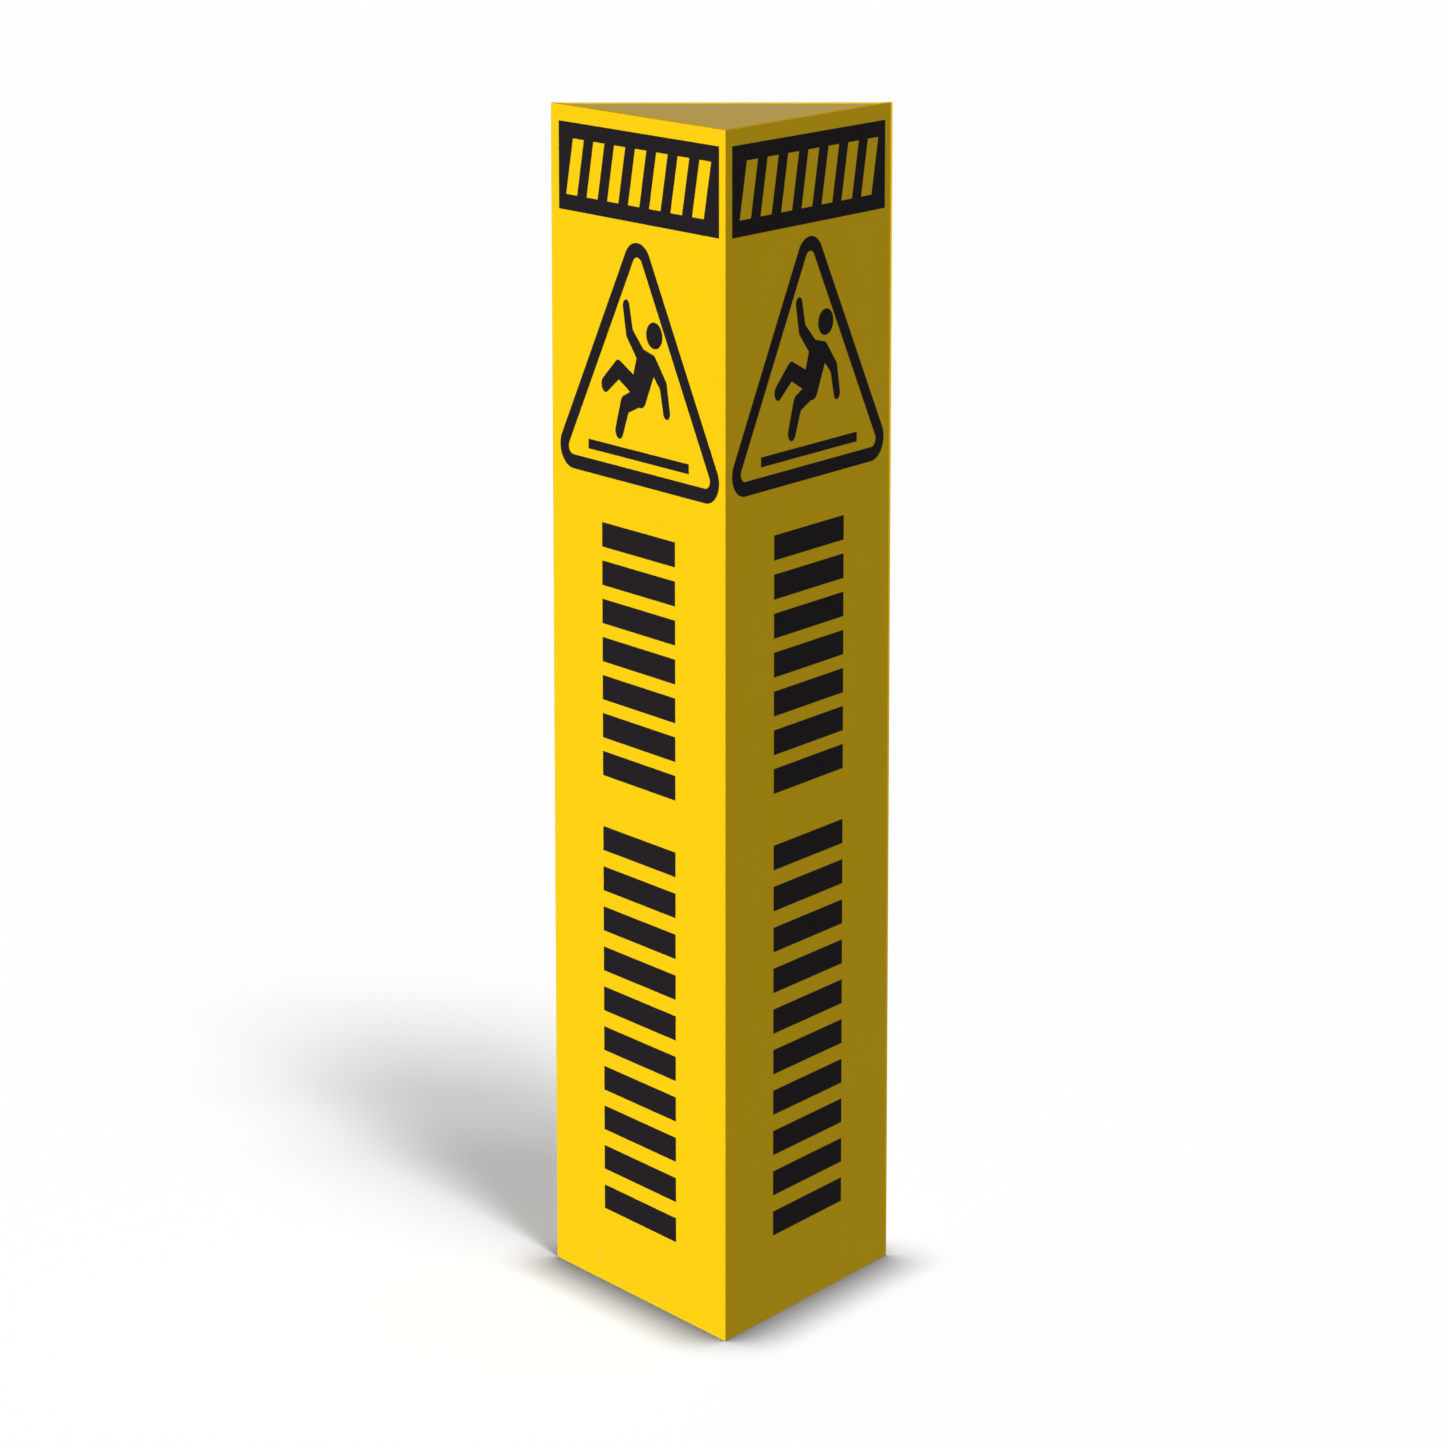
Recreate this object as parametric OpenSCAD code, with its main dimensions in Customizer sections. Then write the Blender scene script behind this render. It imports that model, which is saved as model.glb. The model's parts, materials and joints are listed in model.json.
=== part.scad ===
// Folding three-sided floor sign: a column of fluted plastic board.
// The rear panel carries two wings on creased corners. The wings meet at the front corner,
// where a flap with hook and loop coins holds them shut. A lid closes the top, and a brace
// folds down near the foot to keep the plan triangular.
// +Z is up, the sharp front corner points to -Y, and the origin is the middle of the base.

/* [Column] */
// Side of the triangular plan, between the sharp corners of its faces
face_w = 263; // [220:1:300]
// Height of the column
column_h = 914; // [760:1:1000]

/* [Board] */
// Thickness of the fluted board
board_t = 4; // [3:0.5:5]
// Thickness of each flat skin of the board
skin_t = 0.45; // [0.3:0.05:0.6]
// Distance from one flute to the next
flute_pitch = 4; // [3.5:0.5:6]
// Thickness of the rib between two flutes
rib_t = 0.35; // [0.25:0.05:0.6]
// Height of the heat-sealed band along the lower edge of each panel
foot_seal = 3; // [1:0.5:10]

/* [Creases] */
// Clearance between a hinge bead and what turns around it
bead_gap = 0.2; // [0.1:0.05:0.3]
// Gap across each mitred corner
seam_gap = 0.2; // [0.1:0.05:0.4]
// Width of the flat part of a crease strip, next to its bead
crease_w = 3; // [3:0.5:6]
// How far the round bead of a corner crease stands proud of the board's faces
bead_swell = 0.4; // [0:0.1:0.5]
// Thickness of the plain hinge strips welded to the inner faces
strip_t = 1; // [0.8:0.1:1.5]

/* [Lid] */
// How far the lid lies below the top edges of the panels
lid_drop = 0.8; // [0:0.1:1.2]
// Gap between the lid and the inner faces of the wings
lid_gap = 0.8; // [0.6:0.1:2]
// Distance from the inner front corner to the lid's blunt tip
lid_nose = 3; // [2:0.5:10]
// Length of each tuck tab along the lid's side
tab_len = 50; // [30:1:60]
// Depth of each tuck tab below the lid
tab_drop = 14; // [8:1:15]
// Thickness of a tuck tab, where the board is pressed flat
tab_t = 2; // [1:0.5:3]
// Gap between a tuck tab and the wing beside it
tab_gap = 1; // [0.8:0.1:2]

/* [Brace] */
// Height of the brace's lower face above the floor
brace_z = 20; // [10:1:60]
// Gap between the brace and the inner faces of the wings
brace_gap = 0.8; // [0.6:0.1:2]

/* [Closure] */
// Width of the moving flap
flap_w = 32; // [28:1:45]
// Width of the leg that is welded to the left wing
leg_w = 25; // [15:1:35]
// Height of the flap's lower end above the floor
flap_foot = 45; // [40:1:100]
// Distance from the flap's upper end to the top of the column
flap_head = 60; // [40:1:120]
// Diameter of a hook or loop coin
coin_d = 22; // [16:1:26]
// Thickness of a hook or loop coin
coin_t = 1.2; // [0.8:0.1:2]
// Gap between the hooks and the loops while the sign is shut
coin_gap = 0.3; // [0.3:0.1:0.6]
// Number of coin pairs up the corner
coin_count = 4; // [2:1:6]

/* [Print] */
// Thickness of the printed film
film_t = 0.12; // [0.1:0.01:0.3]
// Gap from the header band to the sides of its face
header_margin = 12; // [8:1:20]
// Height of the header band
header_h = 67.2; // [50:0.1:90]
// Gap from the header band to the top of the column
header_top = 12.4; // [8:0.1:30]
// Width of the warning triangle over its rounded corners
triangle_w = 239; // [160:1:239]
// Height of the warning triangle over its rounded corners
triangle_h = 183; // [140:1:190]
// Outer radius of the warning triangle's corners, measured upwards
triangle_r = 17; // [14:1:24]
// Width of the warning triangle's base line
triangle_line = 11; // [6:0.5:12]
// How much the warning triangle is stretched sideways to fill its face
triangle_stretch = 1.2; // [1:0.05:1.4]
// Width of the column of bars
bars_w = 110; // [60:1:140]
// Thickness of one bar
bar_t = 19; // [8:0.5:22]
// How far a wing's print lies from the middle of its face, towards the front corner
print_shift = 2.5; // [0:0.5:3]
// How much higher the triangle and the bars are printed on the right wing
right_print_rise = 5; // [0:0.5:5]

/* [Hidden] */

$fn = 48;
// Sides of the round ends of a printed stroke, and of the warning triangle's corners
stroke_fn = 32;
corner_fn = 96;

// Hairline between a film and its panel
film_gap = 0.01;

// Inner angle of every corner of the plan
corner = 60;
bead_r = board_t / 2;
corner_bead_r = bead_r + bead_swell;
// Distance from a sharp corner to the foot of its hinge axis, and from that foot to the inner corner
axis_in = bead_r / tan(corner / 2);
// The same gap across a mitred right angle, measured along the board
fold_gap = seam_gap * sin(45);

// The plan: faces, hinge axes and inner corner
plan_h = face_w * sin(corner);
tip_cut = seam_gap / 2 * tan(corner);
rear_proud = max(bead_swell, film_gap + film_t);
rear_y = (plan_h - tip_cut - rear_proud) / 2;
front_y = rear_y - plan_h;
inner_front_y = front_y + board_t / sin(corner / 2);
inner_rear_y = rear_y - board_t;
axis_x = face_w / 2 - axis_in;
axis_y = rear_y - bead_r;
lid_axis_z = column_h - bead_r;
lid_z = column_h - board_t - lid_drop;

// Wing lengths from the hinge axis to the front corner, along the outer and the inner face
wing_outer = face_w - axis_in - seam_gap;
wing_inner = wing_outer - board_t / tan(corner / 2);

// Flutes: solid board is kept beside creases and mitred edges
crease_solid = 5;
edge_solid = 2;

// Lid crease and lid, kept clear of the corner creases
lid_crease_half = axis_x - crease_w - 0.9;
tab_from = 0.54 * face_w;
tab_corner_r = 5;

// Closure hinge, in the left wing's frame
flap_depth = 2 * coin_t + coin_gap + strip_t / 2;
pin_back = (flap_depth + strip_t / 2 * cos(corner)) / sin(corner);
closure_s = wing_inner + seam_gap - pin_back;
closure_d = bead_r + strip_t / 2;
flap_h = column_h - flap_head - flap_foot;
coin_from_pin = flap_w / 2 + 2;

// Brace hinge: its bead is level with the brace's upper face
brace_axis_y = inner_rear_y - strip_t / 2;
brace_axis_z = brace_z + board_t;
brace_stop_gap = 0.3;
brace_nose = flap_w * sin(corner) + 6;
// The brace's rear corners are cut back, so that they clear the wings as it folds up
brace_corner_cut = 8;
strip_half = 100;
strip_foot = 6;

// Print: heights of each group above the floor
header_bar_count = 7;
header_bar_h = 43;
header_bar_w = 17;
header_bar_pitch = 31.5;
triangle_foot = 636.5;
upper_bars = 7;
upper_bars_foot = 404;
upper_bars_h = 197;
lower_bars = 10;
lower_bars_foot = 59;
lower_bars_h = 305;

yellow = "gold";
ink = "#241f22";

// ---- frames ----

// The left wing's frame: origin on its hinge axis, +X towards the front corner, +Y inwards
module left_frame() {
    translate([-axis_x, axis_y, 0])
        rotate([0, 0, -corner])
            children();
}

// The right wing's frame mirrors the left one's
module right_frame() {
    mirror([1, 0, 0])
        left_frame()
            children();
}

// The closed flap's frame: origin on the closure hinge, +X along the flap, -Y towards the right wing
module flap_frame() {
    left_frame()
        translate([closure_s, closure_d, 0])
            rotate([0, 0, 180 - corner])
                children();
}

// Lays a flat drawing on the face whose outward normal is -Y turned by the given angle
module on_face(turn) {
    shift = -print_shift * sin(turn) / sin(corner);
    translate([0, rear_y - plan_h / 3, 0])
        rotate([0, 0, turn])
            translate([shift, -plan_h / 3 - film_gap, 0])
                rotate([90, 0, 0])
                    linear_extrude(film_t)
                        children();
}

// ---- board ----

// Open ends of a row of flutes that fills the span from one place to the other
module flutes(from, to) {
    count = floor((to - from) / flute_pitch);
    start = (from + to - count * flute_pitch) / 2;
    for (i = [0 : count - 1])
        translate([start + i * flute_pitch + rib_t / 2, skin_t - bead_r])
            square([flute_pitch - rib_t, board_t - 2 * skin_t]);
}

// Cross-section that runs along +X from a hinge axis at the origin: its outer face is -Y, and
// its inner half is mitred for the corner's angle
module mitred_section(t, outer_len, inner_len) {
    polygon([
        [0, -t / 2],
        [outer_len, -t / 2],
        [inner_len, t / 2],
        [t / 2 / tan(corner / 2) + seam_gap, t / 2],
        [seam_gap, 0],
        [0, 0]
    ]);
}

// The same section, cut back so that it turns freely around the bead at the origin
module hinged_section(t, outer_len, inner_len, pin_r) {
    difference() {
        mitred_section(t, outer_len, inner_len);
        circle(pin_r + bead_gap);
    }
}

module wing_board() {
    color(yellow)
        difference() {
            linear_extrude(column_h)
                hinged_section(board_t, wing_outer, wing_inner, corner_bead_r);
            translate([0, 0, foot_seal])
                linear_extrude(column_h)
                    flutes(crease_solid, wing_inner - edge_solid);
        }
}

// Plan of a plate that fills the column: a gap from the wings, a blunt tip, a straight rear edge
module plan_triangle(gap, nose, rear, half_limit) {
    apex_y = inner_front_y + gap / sin(corner / 2);
    half_at = tan(corner / 2);
    intersection() {
        polygon([
            [-(rear - apex_y) * half_at, rear],
            [(rear - apex_y) * half_at, rear],
            [nose * half_at, apex_y + nose],
            [-nose * half_at, apex_y + nose]
        ]);
        translate([-half_limit, apex_y])
            square([2 * half_limit, rear - apex_y]);
    }
}

// Flutes that run front to back through a level plate
module level_flutes(z, from_y, half_span) {
    translate([0, from_y, z + bead_r])
        rotate([90, 0, 0])
            linear_extrude(plan_h)
                flutes(-half_span, half_span);
}

// ---- panels and creases ----

module rear_panel() {
    flat_x = axis_x - crease_w;
    mitre_y = axis_y - (crease_w - seam_gap) * tan(corner / 2);
    inner_x = axis_x - axis_in - seam_gap;
    color(yellow)
        difference() {
            linear_extrude(lid_axis_z - crease_w)
                polygon([
                    [-flat_x, rear_y],
                    [-flat_x, mitre_y],
                    [-inner_x, inner_rear_y],
                    [inner_x, inner_rear_y],
                    [flat_x, mitre_y],
                    [flat_x, rear_y]
                ]);
            translate([0, axis_y, foot_seal])
                linear_extrude(column_h)
                    flutes(crease_solid - axis_x, axis_x - crease_solid);
        }
}

module left_panel() {
    left_frame()
        wing_board();
}

module right_panel() {
    right_frame()
        wing_board();
}

// Living hinge of the rear left corner: a round bead with a flat strip against the rear panel
module left_crease() {
    color(yellow)
        linear_extrude(column_h)
            union() {
                translate([-axis_x, axis_y])
                    circle(corner_bead_r);
                polygon([
                    [-axis_x, rear_y],
                    [-axis_x, axis_y],
                    [seam_gap - axis_x, axis_y],
                    [crease_w - axis_x, axis_y - (crease_w - seam_gap) * tan(corner / 2)],
                    [crease_w - axis_x, rear_y]
                ]);
            }
}

module right_crease() {
    mirror([1, 0, 0])
        left_crease();
}

// Living hinge along the top of the rear panel, drawn in the Y-Z plane and run along X
module lid_crease() {
    color(yellow)
        translate([-lid_crease_half, 0, 0])
            rotate([90, 0, 90])
                linear_extrude(2 * lid_crease_half)
                    union() {
                        translate([axis_y, lid_axis_z])
                            circle(bead_r);
                        polygon([
                            [rear_y, lid_axis_z],
                            [axis_y, lid_axis_z],
                            [axis_y, lid_axis_z - fold_gap],
                            [inner_rear_y, lid_axis_z - bead_r - fold_gap],
                            [inner_rear_y, lid_axis_z - crease_w],
                            [rear_y, lid_axis_z - crease_w]
                        ]);
                    }
}

// ---- lid ----

module lid_outline() {
    translate([0, 0, lid_z])
        linear_extrude(board_t)
            plan_triangle(lid_gap, lid_nose, axis_y, lid_crease_half);
}

// What the lid leaves free around its crease: the bead's clearance and the mitre below it
module lid_fold_cut() {
    translate([-face_w / 2, 0, 0])
        rotate([90, 0, 90])
            linear_extrude(face_w) {
                translate([axis_y, lid_axis_z])
                    circle(bead_r + bead_gap);
                polygon([
                    [axis_y + 1, lid_axis_z],
                    [axis_y, lid_axis_z],
                    [axis_y - fold_gap, lid_axis_z],
                    [axis_y - fold_gap - board_t, lid_axis_z - board_t],
                    [axis_y + 1, lid_axis_z - board_t]
                ]);
            }
}

module top_lid() {
    color(yellow)
        difference() {
            lid_outline();
            lid_fold_cut();
            level_flutes(lid_z, axis_y - crease_solid, lid_crease_half - edge_solid);
        }
}

// A tuck tab under the lid's side, drawn in the left wing's frame
module tuck_tab() {
    color(yellow)
        translate([tab_from, bead_r + tab_gap + tab_t, lid_z])
            rotate([90, 0, 0])
                linear_extrude(tab_t)
                    union() {
                        translate([0, tab_corner_r - tab_drop])
                            square([tab_len, tab_drop - tab_corner_r]);
                        translate([tab_corner_r, -tab_drop])
                            square([tab_len - 2 * tab_corner_r, tab_drop]);
                        for (x = [tab_corner_r, tab_len - tab_corner_r])
                            translate([x, tab_corner_r - tab_drop])
                                circle(tab_corner_r);
                    }
}

module lid_left_tab() {
    left_frame()
        tuck_tab();
}

module lid_right_tab() {
    right_frame()
        tuck_tab();
}

// ---- closure ----

// Leg welded inside the left wing's front edge, ending in the bead that the flap turns on
module closure_hinge_strip() {
    color(yellow)
        left_frame()
            translate([closure_s, closure_d, flap_foot])
                mirror([1, 0, 0])
                    linear_extrude(flap_h)
                        union() {
                            circle(strip_t / 2);
                            mitred_section(strip_t, leg_w, leg_w);
                        }
}

module closure_flap() {
    color(yellow)
        flap_frame()
            translate([0, 0, flap_foot])
                linear_extrude(flap_h)
                    hinged_section(strip_t, flap_w, flap_w, strip_t / 2);
}

// A row of coins up the flap, starting at the given distance from the flap's middle plane
module coin_row(from) {
    spacing = flap_h / coin_count;
    flap_frame()
        for (i = [0 : coin_count - 1])
            translate([coin_from_pin, -from, flap_foot + (i + 0.5) * spacing])
                rotate([90, 0, 0])
                    cylinder(h = coin_t, d = coin_d);
}

module hook_coins() {
    color("black")
        coin_row(strip_t / 2);
}

module loop_coins() {
    color("dimgray")
        coin_row(strip_t / 2 + coin_t + coin_gap);
}

// ---- brace ----

// Leg welded inside the rear panel below the brace, ending in the bead that the brace turns on
module brace_hinge_strip() {
    color(yellow)
        translate([-strip_half, 0, 0])
            rotate([90, 0, 90])
                linear_extrude(2 * strip_half)
                    union() {
                        translate([brace_axis_y, brace_axis_z])
                            circle(strip_t / 2);
                        translate([inner_rear_y - strip_t, strip_foot])
                            square([strip_t, brace_axis_z - strip_foot]);
                    }
}

module floor_brace() {
    rear = inner_rear_y - strip_t - brace_stop_gap;
    half_span = strip_half + edge_solid;
    half_limit = (rear - brace_corner_cut - inner_front_y) * tan(corner / 2) - 2 * brace_gap;
    color(yellow)
        difference() {
            translate([0, 0, brace_z])
                linear_extrude(board_t)
                    plan_triangle(brace_gap, brace_nose, rear, half_limit);
            level_flutes(brace_z, rear - crease_solid, half_span);
        }
}

// ---- print ----

// A straight stroke with round ends, from one radius to another
module stroke(from, to, from_r, to_r) {
    hull() {
        translate(from)
            circle(from_r, $fn = stroke_fn);
        translate(to)
            circle(to_r, $fn = stroke_fn);
    }
}

// Two strokes that meet at a joint and taper towards the far end
module limb(root, joint, end, root_r, joint_r, end_r) {
    stroke(root, joint, root_r, joint_r);
    stroke(joint, end, joint_r, end_r);
}

// A band with a row of slanted bars cut out of it
module header_art() {
    band_w = face_w - 2 * header_margin;
    first = -(header_bar_count - 1) / 2;
    slant = header_bar_h / 4;
    translate([0, column_h - header_top - header_h / 2])
        difference() {
            square([band_w, header_h], center = true);
            for (i = [0 : header_bar_count - 1])
                translate([(first + i) * header_bar_pitch, 0])
                    polygon([
                        [-header_bar_w / 2 - slant / 2, -header_bar_h / 2],
                        [header_bar_w / 2 - slant / 2, -header_bar_h / 2],
                        [header_bar_w / 2 + slant / 2, header_bar_h / 2],
                        [-header_bar_w / 2 + slant / 2, header_bar_h / 2]
                    ]);
        }
}

// A triangle with round corners, given by the centres and the radius of its corners
module round_triangle(centres, r) {
    hull()
        for (centre = centres)
            translate(centre)
                circle(r, $fn = corner_fn);
}

// A plain figure losing its footing: head, trunk, two arms and two legs
module slipping_figure() {
    head_r = 10;
    head_stretch = 1.2;
    trunk_r = 9;
    shoulder_r = 6.5;
    thigh_r = 7.5;
    knee_r = 7;
    elbow_r = 5.5;
    hand_r = 5;
    foot_r = 6;
    hips = [[-1, 73], [4, 68]];
    back_shoulder = [6, 98];
    front_shoulder = [22, 95];
    translate([25, 116])
        scale([head_stretch, 1])
            circle(head_r);
    hull() {
        stroke(hips[0], hips[1], trunk_r, trunk_r);
        stroke(back_shoulder, front_shoulder, shoulder_r, shoulder_r);
    }
    limb(back_shoulder, [-12, 114], [-17, 134], shoulder_r, elbow_r, hand_r);
    limb(front_shoulder, [38, 80], [43, 60], shoulder_r, elbow_r, hand_r);
    limb(hips[0], [-29, 85], [-49, 71], thigh_r, knee_r, foot_r);
    limb(hips[1], [-19, 59], [-28, 38], thigh_r, knee_r, foot_r);
}

// A warning triangle around the figure, above a straight line of floor
module pictogram_art() {
    half = triangle_w / 2 / triangle_stretch - triangle_r;
    centres = [[-half, triangle_r], [half, triangle_r], [0, triangle_h - triangle_r]];
    floor_line = [151, 7.5];
    translate([0, triangle_foot]) {
        scale([triangle_stretch, 1])
            difference() {
                round_triangle(centres, triangle_r);
                round_triangle(centres, triangle_r - triangle_line);
            }
        translate([-floor_line[0] / 2, 18.5])
            square(floor_line);
        slipping_figure();
    }
}

// A group of level bars, spread evenly over its height
module bar_group(foot, height, count) {
    pitch = (height - bar_t) / (count - 1);
    for (i = [0 : count - 1])
        translate([-bars_w / 2, foot + i * pitch])
            square([bars_w, bar_t]);
}

module bars_art() {
    bar_group(upper_bars_foot, upper_bars_h, upper_bars);
    bar_group(lower_bars_foot, lower_bars_h, lower_bars);
}

module header_print(turn) {
    color(ink)
        on_face(turn)
            header_art();
}

module pictogram_print(turn, rise = 0) {
    color(ink)
        translate([0, 0, rise])
            on_face(turn)
                pictogram_art();
}

module bars_print(turn, rise = 0) {
    color(ink)
        translate([0, 0, rise])
            on_face(turn)
                bars_art();
}

rear_panel();
left_panel();
right_panel();
left_crease();
right_crease();
lid_crease();
top_lid();
lid_left_tab();
lid_right_tab();
closure_hinge_strip();
closure_flap();
hook_coins();
loop_coins();
brace_hinge_strip();
floor_brace();
header_print(180);  // rear_header_print
pictogram_print(180);  // rear_pictogram_print
bars_print(180);  // rear_bars_print
header_print(-corner);  // left_header_print
pictogram_print(-corner);  // left_pictogram_print
bars_print(-corner);  // left_bars_print
header_print(corner);  // right_header_print
pictogram_print(corner, right_print_rise);  // right_pictogram_print
bars_print(corner, right_print_rise);  // right_bars_print
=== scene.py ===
"""Looks for the folding three-sided floor sign: camera, studio, materials, hooks and loops.

Metres, +Z up, the sign's sharp front corner towards -Y. Every place on the sign comes from the
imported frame's own nodes and joints.
"""

import json
import random
from math import cos, pi, radians, sin, sqrt, tan

import bmesh
import bpy
from mathutils import Matrix, Vector

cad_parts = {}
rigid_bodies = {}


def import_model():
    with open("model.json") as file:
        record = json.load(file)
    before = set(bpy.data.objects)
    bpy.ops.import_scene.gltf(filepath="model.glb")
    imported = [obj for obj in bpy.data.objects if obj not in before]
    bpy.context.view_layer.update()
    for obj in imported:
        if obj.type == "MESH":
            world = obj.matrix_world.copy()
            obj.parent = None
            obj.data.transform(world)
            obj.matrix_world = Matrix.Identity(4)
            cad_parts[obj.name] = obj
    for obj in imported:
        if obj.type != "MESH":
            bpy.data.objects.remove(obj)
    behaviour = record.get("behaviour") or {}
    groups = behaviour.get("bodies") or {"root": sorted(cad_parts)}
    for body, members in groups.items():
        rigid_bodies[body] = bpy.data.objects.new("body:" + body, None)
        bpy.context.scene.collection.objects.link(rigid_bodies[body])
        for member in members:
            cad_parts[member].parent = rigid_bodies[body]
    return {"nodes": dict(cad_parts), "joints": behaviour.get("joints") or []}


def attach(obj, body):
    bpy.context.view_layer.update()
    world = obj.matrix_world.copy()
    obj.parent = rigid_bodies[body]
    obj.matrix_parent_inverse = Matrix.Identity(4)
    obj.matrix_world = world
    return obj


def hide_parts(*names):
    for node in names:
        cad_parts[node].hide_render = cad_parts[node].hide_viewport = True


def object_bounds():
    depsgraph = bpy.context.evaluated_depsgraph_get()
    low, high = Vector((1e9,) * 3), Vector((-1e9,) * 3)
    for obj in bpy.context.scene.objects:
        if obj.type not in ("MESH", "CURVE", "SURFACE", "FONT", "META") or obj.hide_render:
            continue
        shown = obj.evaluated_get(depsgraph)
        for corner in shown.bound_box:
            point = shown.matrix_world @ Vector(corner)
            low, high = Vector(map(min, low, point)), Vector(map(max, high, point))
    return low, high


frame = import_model()
cad_low, cad_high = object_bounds()

MM = 0.001
NODES = frame["nodes"]
JOINTS = {joint["name"]: joint for joint in frame["joints"]}

# ---- camera ----

LENS_MM = 143.06
SENSOR_MM = 36.0
CAMERA_PLACE = (-0.0554, -4.2757, 1.3079)
CAMERA_PITCH_DOWN = 11.294
CAMERA_YAW_RIGHT = 0.730
CAMERA_REACH = 200.0


def make_camera():
    data = bpy.data.cameras.new("camera")
    data.lens = LENS_MM
    data.sensor_width = SENSOR_MM
    data.clip_end = CAMERA_REACH
    camera = bpy.data.objects.new("camera", data)
    camera.location = CAMERA_PLACE
    camera.rotation_euler = (radians(90 - CAMERA_PITCH_DOWN), 0, radians(-CAMERA_YAW_RIGHT))
    bpy.context.scene.collection.objects.link(camera)
    bpy.context.scene.camera = camera


make_camera()

# ---- small helpers ----


def add(tree, kind, links=None, **settings):
    """A new shader node. A link is a socket's name with the socket or the number that feeds it."""
    made = tree.nodes.new("ShaderNode" + kind)
    for name, value in settings.items():
        setattr(made, name, value)
    for name, source in (links or {}).items():
        if isinstance(source, bpy.types.NodeSocket):
            tree.links.new(source, made.inputs[name])
        else:
            made.inputs[name].default_value = source
    return made


def new_material(name):
    material = bpy.data.materials.new(name)
    material.use_nodes = True
    tree = material.node_tree
    shader = tree.nodes["Principled BSDF"]
    return material, tree, shader


def noise(tree, vector, scale, detail=3.0, stretch=None):
    """Noise with features of about 1 / scale metres, drawn out by the given factors."""
    if stretch:
        shrink = tuple(1 / s for s in stretch)
        vector = add(tree, "Mapping", {"Vector": vector, "Scale": shrink}).outputs["Vector"]
    made = add(tree, "TexNoise", {"Vector": vector, "Scale": scale, "Detail": detail})
    return made.outputs["Fac"]


def remap(tree, value, low, high, to_low=0.0, to_high=1.0, smooth=False):
    made = add(
        tree,
        "MapRange",
        {"Value": value, "From Min": low, "From Max": high, "To Min": to_low, "To Max": to_high},
        interpolation_type="SMOOTHSTEP" if smooth else "LINEAR",
    )
    return made.outputs["Result"]


def times(tree, first, second):
    return add(tree, "Math", {0: first, 1: second}, operation="MULTIPLY").outputs["Value"]


def mix_colour(tree, factor, first, second):
    made = add(tree, "Mix", data_type="RGBA")
    for index, source in ((0, factor), (6, first), (7, second)):
        if isinstance(source, bpy.types.NodeSocket):
            tree.links.new(source, made.inputs[index])
        else:
            made.inputs[index].default_value = source
    return made.outputs[2]


def bump(tree, height, distance, below=None):
    links = {"Height": height, "Distance": distance, "Strength": 1.0}
    if below:
        links["Normal"] = below
    return add(tree, "Bump", links).outputs["Normal"]


def paint(node, material):
    """Gives a CAD node's every material slot this material."""
    for slot in NODES[node].material_slots:
        slot.material = material


# ---- the board's own frames: X runs along the board, at right angles to its flutes ----

FLUTE_PITCH = 4 * MM
# Blender's bands repeat every pi / 10 of scaled distance
FLUTE_SCALE = pi / 10 / FLUTE_PITCH
SKIN_SINK = 0.03 * MM
RIB_SINK_SHARE = 0.45
GRAIN_SIZE = 0.6 * MM
GRAIN_DEPTH = 0.008 * MM

left_axis = Vector(JOINTS["left_wing_swing"]["pos_m"])
right_axis = Vector(JOINTS["right_wing_swing"]["pos_m"])
rear_middle = (left_axis + right_axis) / 2
CORNER = 60


def along(angle, height=0.0):
    """The direction at this angle from +X, in degrees, raised by the given height."""
    return Vector((cos(radians(angle)), sin(radians(angle)), height))


# Turn of each panel's own frame, and the place of one of its ribs along the board
PANELS = {
    "rear": (rear_middle, 0, 2.0 * MM),
    "left": (left_axis, -CORNER, 1.7 * MM),
    "right": (right_axis, CORNER - 180, 1.7 * MM),
}


def board_coordinates(tree, panel):
    """Coordinates that stay with the piece: X along the board from a rib, Z up."""
    origin, turn, rib = PANELS[panel]
    place = add(tree, "TexCoord").outputs["Object"]
    start = origin + along(turn) * rib
    links = {"Vector": place, "Location": start, "Rotation": (0, 0, radians(turn))}
    made = add(tree, "Mapping", links, vector_type="TEXTURE")
    return made.outputs["Vector"]


def flute_skin(tree, vector):
    """1 between the ribs, falling to 0 in the narrow sink over each rib."""
    made = add(
        tree, "TexWave", {"Vector": vector, "Scale": FLUTE_SCALE},
        wave_type="BANDS", bands_direction="X", wave_profile="SIN",
    )
    return remap(tree, made.outputs["Fac"], 0.0, RIB_SINK_SHARE, smooth=True)


def surface_bump(tree, vector, relief, grain_depth=GRAIN_DEPTH, relief_depth=SKIN_SINK):
    """Fine grain, over the broader relief of the flutes or of drawn lines."""
    grain = noise(tree, vector, 1 / GRAIN_SIZE, detail=2)
    return bump(tree, grain, grain_depth, bump(tree, relief, relief_depth))


# ---- materials ----

YELLOW = (0.995, 0.643, 0.0012, 1)
YELLOW_DEEP = (0.950, 0.598, 0.0012, 1)
YELLOW_SCUFFED = (0.900, 0.640, 0.090, 1)
YELLOW_STRESSED = (0.960, 0.700, 0.110, 1)
STRIP_YELLOW = (0.930, 0.590, 0.006, 1)
STRIP_YELLOW_DEEP = (0.880, 0.540, 0.005, 1)
INK = (0.0145, 0.0105, 0.0125, 1)
INK_WORN = (0.0210, 0.0160, 0.0185, 1)
HOOK_BLACK = (0.010, 0.010, 0.011, 1)
HOOK_GREY = (0.022, 0.022, 0.024, 1)
LOOP_DARK = (0.030, 0.030, 0.033, 1)
LOOP_PALE = (0.075, 0.075, 0.080, 1)
SCUFF_HEIGHT = 40 * MM
FOOT_SCUFFS = 0.55
FAINT_SCUFFS = 0.04
SCUFF_ROUGHNESS = 0.3
RIB_SHADE = 0.55
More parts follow.
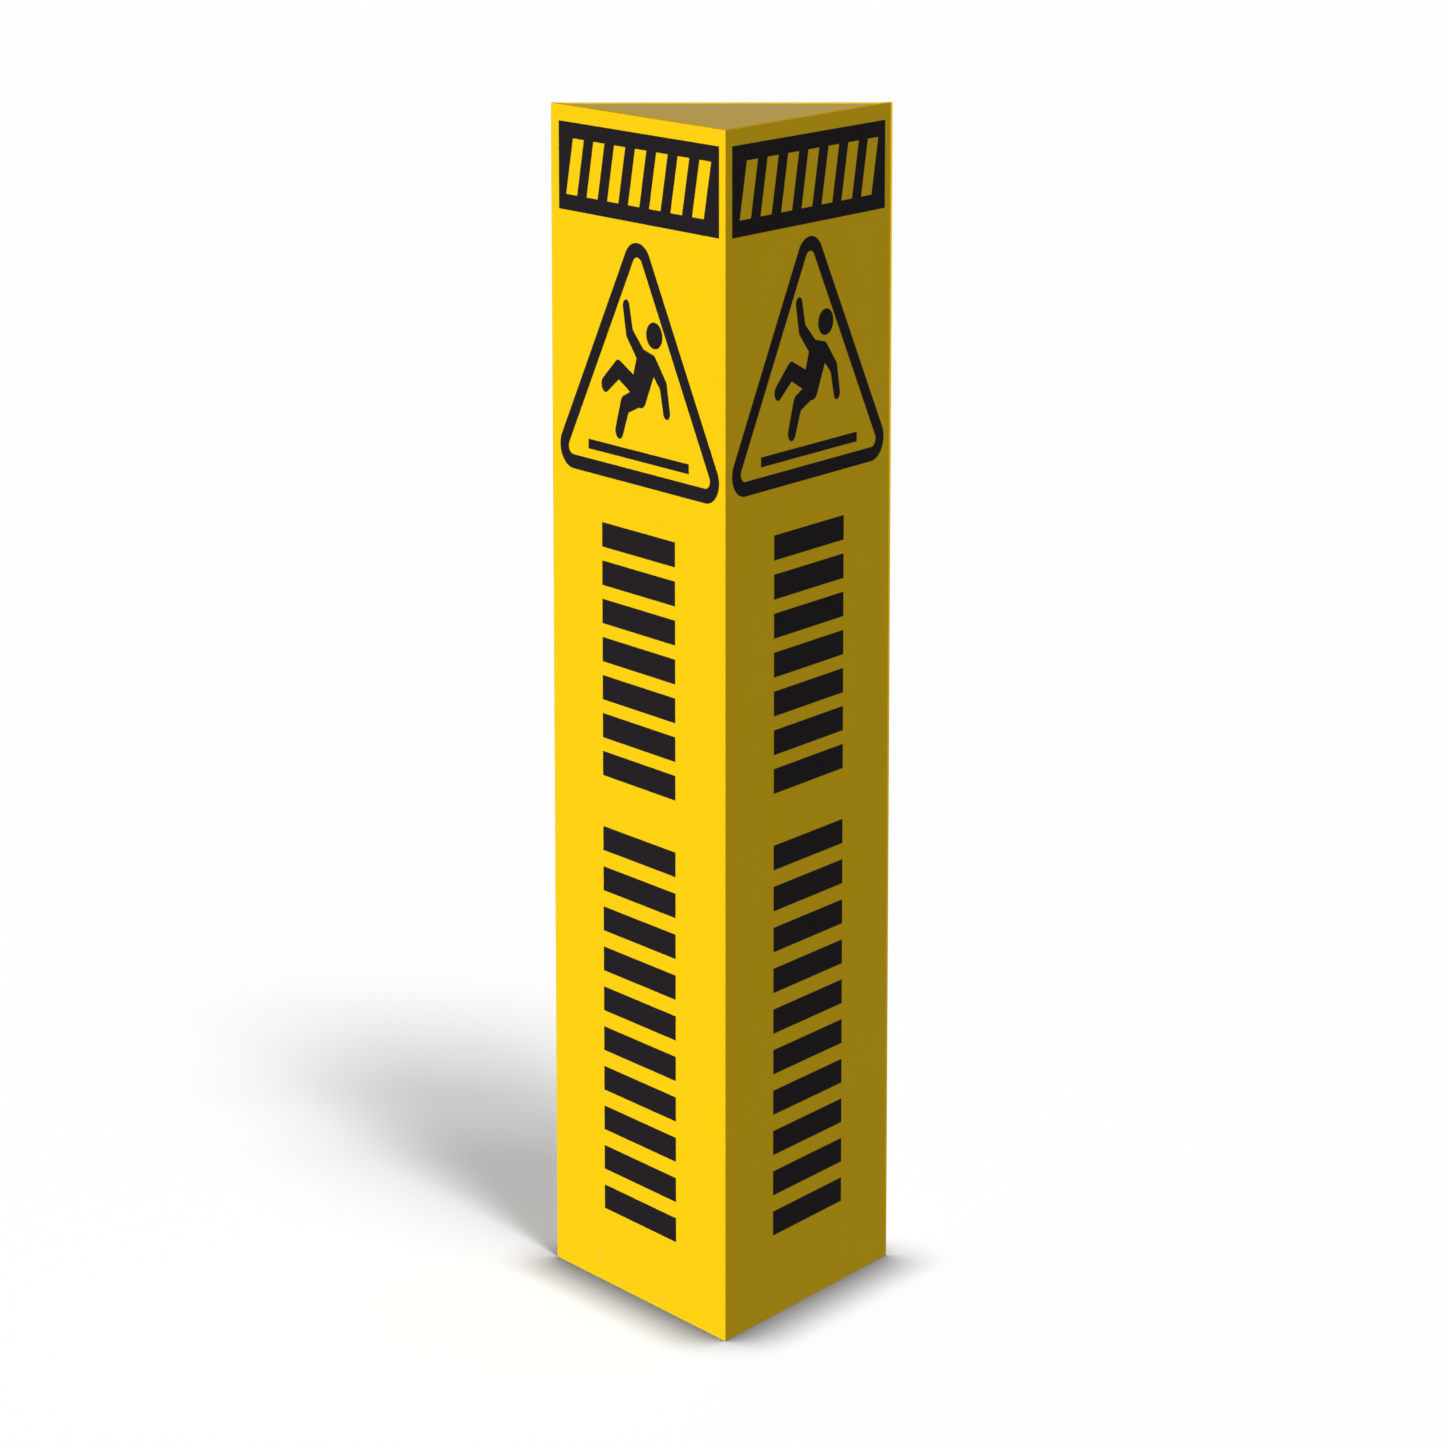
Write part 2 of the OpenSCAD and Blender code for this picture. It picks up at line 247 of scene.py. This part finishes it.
# Specular levels
BOARD_GLOSS = 0.04
LID_GLOSS = 0.6
CREASE_GLOSS = 0.10
STRIP_GLOSS = 0.3
INK_GLOSS = 0.03
# Heights of the bumps
STRESS_DEPTH = 0.02 * MM
DRAWN_DEPTH = 0.012 * MM
PEBBLE_DEPTH = 0.012 * MM
PILE_DEPTH = 0.03 * MM
# Noise scales: features to the metre
CLOUD_SCALE = 9
SCUFF_SCALE = 260
SHEEN_SCALE = 35
STRESS_SCALE = 420
DRAWN_SCALE = 900
STRIP_CLOUD_SCALE = 25
THIN_INK_SCALE = 45
INK_SHEEN_SCALE = 80
HOOK_SCALE = 1300
LOOP_SCALE = 1500


def board_material(name, panel, gloss=BOARD_GLOSS, foot_scuffs=FOOT_SCUFFS):
    """Satin fluted polypropylene: faint ribs, uneven sheen, scuffs that gather at the foot."""
    material, tree, shader = new_material(name)
    vector = board_coordinates(tree, panel)
    skin = flute_skin(tree, vector)

    cloud = noise(tree, vector, CLOUD_SCALE, detail=4)
    deep = remap(tree, cloud, 0.35, 0.75, 0.0, 0.35)
    between = remap(tree, skin, 0, 1, RIB_SHADE, 0.0)
    colour = mix_colour(tree, deep, YELLOW, YELLOW_DEEP)
    colour = mix_colour(tree, between, colour, YELLOW_DEEP)

    height = add(tree, "SeparateXYZ", {"Vector": vector}).outputs["Z"]
    foot = remap(tree, height, 0, SCUFF_HEIGHT, foot_scuffs, FAINT_SCUFFS, smooth=True)
    specks = noise(tree, vector, SCUFF_SCALE, detail=5, stretch=(3, 3, 1))
    marks = remap(tree, specks, 0.58, 0.70)
    scuffs = times(tree, foot, marks)
    colour = mix_colour(tree, scuffs, colour, YELLOW_SCUFFED)

    waves = noise(tree, vector, SHEEN_SCALE, detail=3, stretch=(1, 1, 4))
    sheen = remap(tree, waves, 0.3, 0.7, 0.40, 0.52)
    dulled = times(tree, scuffs, SCUFF_ROUGHNESS)
    rough = add(tree, "Math", {0: sheen, 1: dulled}, operation="ADD")
    tree.links.new(colour, shader.inputs["Base Color"])
    tree.links.new(rough.outputs["Value"], shader.inputs["Roughness"])
    tree.links.new(surface_bump(tree, vector, skin), shader.inputs["Normal"])
    shader.inputs["Specular IOR Level"].default_value = gloss
    return material


def crease_material(name):
    """The same board, bent: fine white stress marks run along the hinge."""
    material, tree, shader = new_material(name)
    vector = add(tree, "TexCoord").outputs["Object"]
    streaks = noise(tree, vector, STRESS_SCALE, detail=3, stretch=(1, 1, 14))
    stressed = remap(tree, streaks, 0.50, 0.72, 0.0, 0.30)
    colour = mix_colour(tree, stressed, YELLOW, YELLOW_STRESSED)
    rough = remap(tree, streaks, 0.3, 0.7, 0.42, 0.56)
    tree.links.new(colour, shader.inputs["Base Color"])
    tree.links.new(rough, shader.inputs["Roughness"])
    tree.links.new(bump(tree, streaks, STRESS_DEPTH), shader.inputs["Normal"])
    shader.inputs["Specular IOR Level"].default_value = CREASE_GLOSS
    return material


def strip_material(name):
    """Extruded hinge strip: drawn lines along it and a slightly glossier skin."""
    material, tree, shader = new_material(name)
    vector = add(tree, "TexCoord").outputs["Object"]
    lines = noise(tree, vector, DRAWN_SCALE, detail=2, stretch=(1, 1, 60))
    cloud = noise(tree, vector, STRIP_CLOUD_SCALE, detail=3)
    deep = remap(tree, cloud, 0.35, 0.7, 0.0, 0.6)
    colour = mix_colour(tree, deep, STRIP_YELLOW, STRIP_YELLOW_DEEP)
    rough = remap(tree, lines, 0.3, 0.7, 0.30, 0.44)
    tree.links.new(colour, shader.inputs["Base Color"])
    tree.links.new(rough, shader.inputs["Roughness"])
    drawn = surface_bump(tree, vector, lines, relief_depth=DRAWN_DEPTH)
    tree.links.new(drawn, shader.inputs["Normal"])
    shader.inputs["Specular IOR Level"].default_value = STRIP_GLOSS
    return material


def ink_material(name, panel):
    """Satin screen ink: the flutes show through it, with a fine pebble and thin patches."""
    material, tree, shader = new_material(name)
    vector = board_coordinates(tree, panel)
    skin = flute_skin(tree, vector)
    patches = noise(tree, vector, THIN_INK_SCALE, detail=5)
    thin = remap(tree, patches, 0.45, 0.75, 0.0, 0.35)
    colour = mix_colour(tree, thin, INK, INK_WORN)
    waves = noise(tree, vector, INK_SHEEN_SCALE, detail=3)
    rough = remap(tree, waves, 0.3, 0.7, 0.30, 0.42)
    tree.links.new(colour, shader.inputs["Base Color"])
    tree.links.new(rough, shader.inputs["Roughness"])
    pebbled = surface_bump(tree, vector, skin, grain_depth=PEBBLE_DEPTH)
    tree.links.new(pebbled, shader.inputs["Normal"])
    shader.inputs["Specular IOR Level"].default_value = INK_GLOSS
    return material


def pile_material(name, dark, pale, scale, roughness, sheen):
    """Moulded hooks or napped loops: tone and gloss vary from one strand to the next."""
    material, tree, shader = new_material(name)
    vector = add(tree, "TexCoord").outputs["Object"]
    tone = noise(tree, vector, scale, detail=2)
    colour = mix_colour(tree, remap(tree, tone, 0.35, 0.65), dark, pale)
    rough = remap(tree, tone, 0.3, 0.7, roughness, roughness + 0.2)
    tree.links.new(colour, shader.inputs["Base Color"])
    tree.links.new(rough, shader.inputs["Roughness"])
    tree.links.new(bump(tree, tone, PILE_DEPTH), shader.inputs["Normal"])
    shader.inputs["Sheen Weight"].default_value = sheen
    return material


boards = {panel: board_material(f"board_{panel}", panel) for panel in PANELS}
inks = {panel: ink_material(f"ink_{panel}", panel) for panel in PANELS}
crease = crease_material("crease")
strip = strip_material("strip")
hook_pile = pile_material(
    "hook_pile", HOOK_BLACK, HOOK_GREY, HOOK_SCALE, roughness=0.32, sheen=0.0
)
loop_pile = pile_material(
    "loop_pile", LOOP_DARK, LOOP_PALE, LOOP_SCALE, roughness=0.75, sheen=0.4
)

for panel in PANELS:
    paint(f"{panel}_panel", boards[panel])
    for part in ("header", "pictogram", "bars"):
        paint(f"{panel}_{part}_print", inks[panel])
paint("top_lid", board_material("board_lid", "rear", gloss=LID_GLOSS))
paint("floor_brace", board_material("board_brace", "rear", foot_scuffs=FAINT_SCUFFS))
paint("lid_left_tab", boards["left"])
paint("lid_right_tab", boards["right"])
for node in ("left_crease", "right_crease", "lid_crease"):
    paint(node, crease)
for node in ("closure_hinge_strip", "closure_flap", "brace_hinge_strip"):
    paint(node, strip)

# ---- softened edges on the board ----

EDGE_ROUND = 0.25 * MM
EDGE_ANGLE = 40
WELD_REACH = 0.002 * MM

for node in ("top_lid", "floor_brace", "lid_left_tab", "lid_right_tab", "closure_flap"):
    piece = NODES[node]
    weld = piece.modifiers.new("weld", "WELD")
    weld.merge_threshold = WELD_REACH
    bevel = piece.modifiers.new("edge", "BEVEL")
    bevel.width = EDGE_ROUND
    bevel.segments = 2
    bevel.limit_method = "ANGLE"
    bevel.angle_limit = radians(EDGE_ANGLE)
    bevel.harden_normals = True

# ---- small moulded pieces, built in local frames whose Z leaves the surface they sit on ----

UP = Vector((0, 0, 1))
CREASE_ANGLE = 45


def extent(node, direction):
    """How far a node reaches along a direction: lowest and highest."""
    reach = [vertex.co.dot(direction) for vertex in NODES[node].data.vertices]
    return min(reach), max(reach)


def solids_up(node, gap):
    """The level ranges of a node's separate solids, from the lowest up."""
    levels = sorted(vertex.co.z for vertex in NODES[node].data.vertices)
    tops = [i for i in range(len(levels) - 1) if levels[i + 1] - levels[i] > gap]
    starts = [0] + [i + 1 for i in tops]
    ends = tops + [len(levels) - 1]
    return [(levels[start], levels[end]) for start, end in zip(starts, ends)]


def seat(outward, place):
    """A frame at the place: Z is outward and Y is up."""
    across = UP.cross(outward)
    turn = Matrix((across, UP, outward)).transposed().to_4x4()
    return Matrix.Translation(place) @ turn


def lathe(mesh, matrix, outline, sides):
    """A closed round solid: the outline is a list of (radius, height) from its foot to its top."""
    rings = []
    for radius, height in outline:
        points = [
            Vector((radius * cos(2 * pi * i / sides), radius * sin(2 * pi * i / sides), height))
            for i in range(sides)
        ]
        rings.append([mesh.verts.new(matrix @ point) for point in points])
    for lower, upper in zip(rings, rings[1:]):
        for i in range(sides):
            j = (i + 1) % sides
            mesh.faces.new((lower[i], lower[j], upper[j], upper[i]))
    mesh.faces.new(rings[0][::-1])
    mesh.faces.new(rings[-1])


def tube(mesh, matrix, path, radius, sides):
    """A closed thin tube along a path of points that lie in one plane with local Z."""
    rings = []
    ahead = (path[-1] - path[0]).normalized()
    sideways = ahead.cross(UP).normalized()
    for i, point in enumerate(path):
        run = (path[min(i + 1, len(path) - 1)] - path[max(i - 1, 0)]).normalized()
        out = sideways.cross(run)
        ring = []
        for k in range(sides):
            angle = 2 * pi * (k + 0.5) / sides
            offset = (sideways * cos(angle) + out * sin(angle)) * radius
            ring.append(mesh.verts.new(matrix @ (point + offset)))
        rings.append(ring)
    for lower, upper in zip(rings, rings[1:]):
        for i in range(sides):
            j = (i + 1) % sides
            mesh.faces.new((lower[i], lower[j], upper[j], upper[i]))
    mesh.faces.new(rings[0][::-1])
    mesh.faces.new(rings[-1])


def finish_piece(name, mesh, material, body):
    bmesh.ops.recalc_face_normals(mesh, faces=mesh.faces)
    data = bpy.data.meshes.new(name)
    mesh.to_mesh(data)
    mesh.free()
    data.materials.append(material)
    piece = bpy.data.objects.new(name, data)
    bpy.context.scene.collection.objects.link(piece)
    for face in data.polygons:
        face.use_smooth = True
    data.set_sharp_from_angle(angle=radians(CREASE_ANGLE))
    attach(piece, body)
    return piece


# ---- hook and loop coins ----

COIN_NORMAL = along(-CORNER / 2)
# Clear height between one coin and the next is more than this
COIN_SPACING = 20 * MM
COIN_EDGE = 0.8 * MM
PAD_SHARE = 0.38
PAD_SIDES = 48
# The rim of a coin's pad: distance in from its edge, and share of its height
PAD_RIM = ((0.0, 0.0), (0.0, 0.55), (0.12 * MM, 0.82), (0.40 * MM, 1.0), (COIN_EDGE, 0.94))
# Hooks and loops are rooted this share of the way up the pad
HOOK_ROOT = 0.94
LOOP_ROOT = 0.9
HOOK_BORDER = 0.5 * MM
HOOK_PITCH = 1.45 * MM
HOOK_JITTER = 0.06 * MM
HOOK_SIDES = 7
# One mushroom hook: radius, and share of its height
HOOK_OUTLINE = (
    (0.26 * MM, -0.1), (0.19 * MM, 0.30), (0.17 * MM, 0.58),
    (0.47 * MM, 0.70), (0.44 * MM, 0.86), (0.24 * MM, 1.0),
)
LOOP_BORDER = 0.6 * MM
LOOP_PITCH = 1.15 * MM
LOOP_JITTER = 0.35 * MM
LOOP_WIDTH = (0.45 * MM, 0.75 * MM)
LOOP_HEIGHT_SHARE = (0.62, 1.0)
LOOP_LEAN = 0.30 * MM
LOOP_RADIUS = 0.085 * MM
LOOP_STEPS = 7
LOOP_SIDES = 4
SEED = 7


def coin_seats(node, outward):
    """Each coin's frame and radius, and the thickness that they share."""
    back, front = extent(node, outward)
    across = UP.cross(outward)
    side = sum(extent(node, across)) / 2
    seats = []
    for low, high in solids_up(node, gap=COIN_SPACING):
        place = outward * back + across * side + UP * (low + high) / 2
        seats.append((seat(outward, place), (high - low) / 2))
    return seats, front - back


def pad(mesh, matrix, radius, height):
    outline = [(radius - inset, height * share) for inset, share in PAD_RIM]
    lathe(mesh, matrix, outline, PAD_SIDES)


def hex_places(radius, pitch):
    """Points of a hexagonal grid inside a circle."""
    rows = int(radius / (pitch * sqrt(3) / 2)) + 1
    for row in range(-rows, rows + 1):
        y = row * pitch * sqrt(3) / 2
        shift = pitch / 2 if row % 2 else 0
        for column in range(-rows - 1, rows + 2):
            x = column * pitch + shift
            if x * x + y * y <= radius * radius:
                yield x, y


def make_hooks():
    dice = random.Random(SEED)
    mesh = bmesh.new()
    seats, thickness = coin_seats("hook_coins", COIN_NORMAL)
    pad_height = thickness * PAD_SHARE
    stem = thickness - pad_height
    for matrix, radius in seats:
        pad(mesh, matrix, radius, pad_height)
        for x, y in hex_places(radius - COIN_EDGE - HOOK_BORDER, HOOK_PITCH):
            x += dice.uniform(-HOOK_JITTER, HOOK_JITTER)
            y += dice.uniform(-HOOK_JITTER, HOOK_JITTER)
            place = Matrix.Translation((x, y, pad_height * HOOK_ROOT))
            outline = [(size, share * stem) for size, share in HOOK_OUTLINE]
            lathe(mesh, matrix @ place, outline, HOOK_SIDES)
    piece = finish_piece("hook_coin_pile", mesh, hook_pile, "flap")
    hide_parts("hook_coins")


def make_loops():
    dice = random.Random(SEED + 1)
    mesh = bmesh.new()
    seats, thickness = coin_seats("loop_coins", -COIN_NORMAL)
    pad_height = thickness * PAD_SHARE
    room = thickness - pad_height - LOOP_RADIUS
    for matrix, radius in seats:
        pad(mesh, matrix, radius, pad_height)
        for x, y in hex_places(radius - COIN_EDGE - LOOP_BORDER, LOOP_PITCH):
            x += dice.uniform(-LOOP_JITTER, LOOP_JITTER)
            y += dice.uniform(-LOOP_JITTER, LOOP_JITTER)
            turn = along(dice.uniform(0, 360))
            lean = along(dice.uniform(0, 360)) * LOOP_LEAN
            half = dice.uniform(*LOOP_WIDTH) / 2
            height = room * dice.uniform(*LOOP_HEIGHT_SHARE)
            foot = Vector((x, y, pad_height * LOOP_ROOT))
            path = []
            for step in range(LOOP_STEPS):
                angle = pi * step / (LOOP_STEPS - 1)
                rise = sin(angle)
                out = turn * cos(angle) * half
                path.append(foot + out + (lean + UP * height) * rise)
            tube(mesh, matrix, path, LOOP_RADIUS, LOOP_SIDES)
    piece = finish_piece("loop_coin_pile", mesh, loop_pile, "right_wing")
    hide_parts("loop_coins")


make_hooks()
make_loops()

# ---- weld spots that hold the hinge strips to the board ----

# One mark: radius, and height over the strip's face
SPOT_OUTLINE = (
    (3.2 * MM, -0.05 * MM), (3.0 * MM, 0.06 * MM), (2.6 * MM, 0.14 * MM),
    (2.1 * MM, 0.12 * MM), (1.7 * MM, 0.04 * MM), (1.1 * MM, 0.03 * MM), (0.4 * MM, 0.06 * MM),
)
SPOT_SIDES = 24
CLOSURE_SPOTS = 18
BRACE_SPOTS = 5
# Height of a level row of marks, as a share of the strip's height
LEVEL_ROW = 0.42


def make_spots(name, node, outward, count, upright, body):
    """A row of sunken weld marks along the middle of a strip's free face."""
    mesh = bmesh.new()
    across = UP.cross(outward)
    face = extent(node, outward)[1]
    wide, tall = extent(node, across), extent(node, UP)
    for i in range(count):
        share = (i + 0.5) / count
        side = sum(wide) / 2 if upright else wide[0] + share * (wide[1] - wide[0])
        level = tall[0] + (share if upright else LEVEL_ROW) * (tall[1] - tall[0])
        place = outward * face + across * side + UP * level
        lathe(mesh, seat(outward, place), SPOT_OUTLINE, SPOT_SIDES)
    finish_piece(name, mesh, strip, body)


make_spots(
    "closure_weld_spots", "closure_hinge_strip", along(90 - CORNER), CLOSURE_SPOTS,
    upright=True, body="left_wing",
)
make_spots(
    "brace_weld_spots", "brace_hinge_strip", along(-90), BRACE_SPOTS,
    upright=False, body="rear",
)

# ---- studio ----

# Brightness of the backdrop as the camera sees it, and of the light that it gives
WHITE = 0.991
AMBIENT = 0.315
FLOOR_SIDE = 60.0
FLOOR_DROP = 0.1 * MM
FLOOR_ALBEDO = 0.3
# Distant lamps: azimuth from +X, elevation, strength and softness
KEY_LAMP = (-150, 7, 0.72 * pi, 12)
RIM_LAMP = (64, 7, 0.50 * pi, 6)
# Lamps that throw the sign's shadow: azimuth from -Y, elevation, share of the floor's brightness
SHADOW_LAMPS = ((20.5, 47, 0.193), (26.5, 54, 0.203), (34.5, 64, 0.125))
SHADOW_SOFTNESS = 10
# Painted contact shade on the floor: ambient occlusion reach, the power it is raised to, and its
# samples
CONTACT_REACH = 55 * MM
CONTACT_POWER = 2.0
CONTACT_SAMPLES = 16

EDGE_PLACE = (0.55, -0.50, 1.25)
EDGE_POWER = 4.0
EDGE_SIZE = 0.25

sign_objects = bpy.data.collections.new("sign_receivers")
for item in bpy.context.scene.collection.all_objects:
    if item.type == "MESH":
        sign_objects.objects.link(item)
floor_objects = bpy.data.collections.new("floor_receivers")


def make_sun(name, azimuth, elevation, strength, softness, receivers):
    """A soft distant light that reaches only its receivers."""
    towards = along(azimuth, tan(radians(elevation)))
    data = bpy.data.lights.new(name, "SUN")
    data.energy = strength
    data.angle = radians(softness)
    light = bpy.data.objects.new(name, data)
    light.rotation_euler = towards.to_track_quat("Z", "Y").to_euler()
    light.light_linking.receiver_collection = receivers
    bpy.context.scene.collection.objects.link(light)


def make_edge_light():
    """A small lamp high on the right that picks out the creases, and fades towards the floor."""
    data = bpy.data.lights.new("edge", "AREA")
    data.energy = EDGE_POWER
    data.size = EDGE_SIZE
    light = bpy.data.objects.new("edge", data)
    light.location = EDGE_PLACE
    aim = Vector(EDGE_PLACE) - UP * cad_high.z
    light.rotation_euler = aim.to_track_quat("Z", "Y").to_euler()
    receivers = bpy.data.collections.new("crease_receivers")
    for node in ("left_crease", "right_crease", "lid_crease"):
        receivers.objects.link(NODES[node])
    light.light_linking.receiver_collection = receivers
    bpy.context.scene.collection.objects.link(light)


def make_world():
    """A white backdrop for the camera, and an even softer light for everything else."""
    world = bpy.data.worlds.new("studio")
    world.use_nodes = True
    tree = world.node_tree
    backdrop = tree.nodes["Background"]
    is_camera = add(tree, "LightPath").outputs["Is Camera Ray"]
    level = remap(tree, is_camera, 0, 1, AMBIENT, WHITE)
    backdrop.inputs["Color"].default_value = (1, 1, 1, 1)
    tree.links.new(level, backdrop.inputs["Strength"])
    bpy.context.scene.world = world


def make_floor():
    """An even pale floor with painted contact shade: ambient occlusion darkens its colour and glow
    where something stands on it.
    """
    bpy.ops.mesh.primitive_plane_add(size=FLOOR_SIDE, location=(0, 0, -FLOOR_DROP))
    ground = bpy.context.object
    ground.name = "floor"
    material = bpy.data.materials.new("pale_floor")
    material.use_nodes = True
    tree = material.node_tree
    tree.nodes.remove(tree.nodes["Principled BSDF"])
    # Painted shade: ambient occlusion darkens the floor's colour and its glow near the sign
    contact = add(tree, "AmbientOcclusion", {"Distance": CONTACT_REACH}, samples=CONTACT_SAMPLES)
    shade = add(tree, "Math", {0: contact.outputs["AO"], 1: CONTACT_POWER}, operation="POWER")
    shade = shade.outputs["Value"]
    own_light = WHITE - sum(share for _, _, share in SHADOW_LAMPS) - FLOOR_ALBEDO * AMBIENT
    tone = times(tree, shade, FLOOR_ALBEDO)
    diffuse = add(tree, "BsdfDiffuse", {"Color": tone})
    glow = add(tree, "Emission", {"Strength": times(tree, shade, own_light)})
    both = add(tree, "AddShader", {0: diffuse.outputs[0], 1: glow.outputs[0]})
    tree.links.new(both.outputs[0], tree.nodes["Material Output"].inputs["Surface"])
    ground.data.materials.append(material)
    ground.visible_diffuse = False
    ground.visible_glossy = False
    ground.visible_shadow = False
    floor_objects.objects.link(ground)


make_world()
make_floor()
make_edge_light()
make_sun("key", *KEY_LAMP, sign_objects)
make_sun("rim", *RIM_LAMP, sign_objects)
for number, (azimuth, elevation, share) in enumerate(SHADOW_LAMPS):
    strength = share * pi / FLOOR_ALBEDO / sin(radians(elevation))
    make_sun(
        f"shadow_{number}", azimuth - 90, elevation, strength, SHADOW_SOFTNESS, floor_objects
    )

bpy.context.scene.view_settings.view_transform = "Standard"
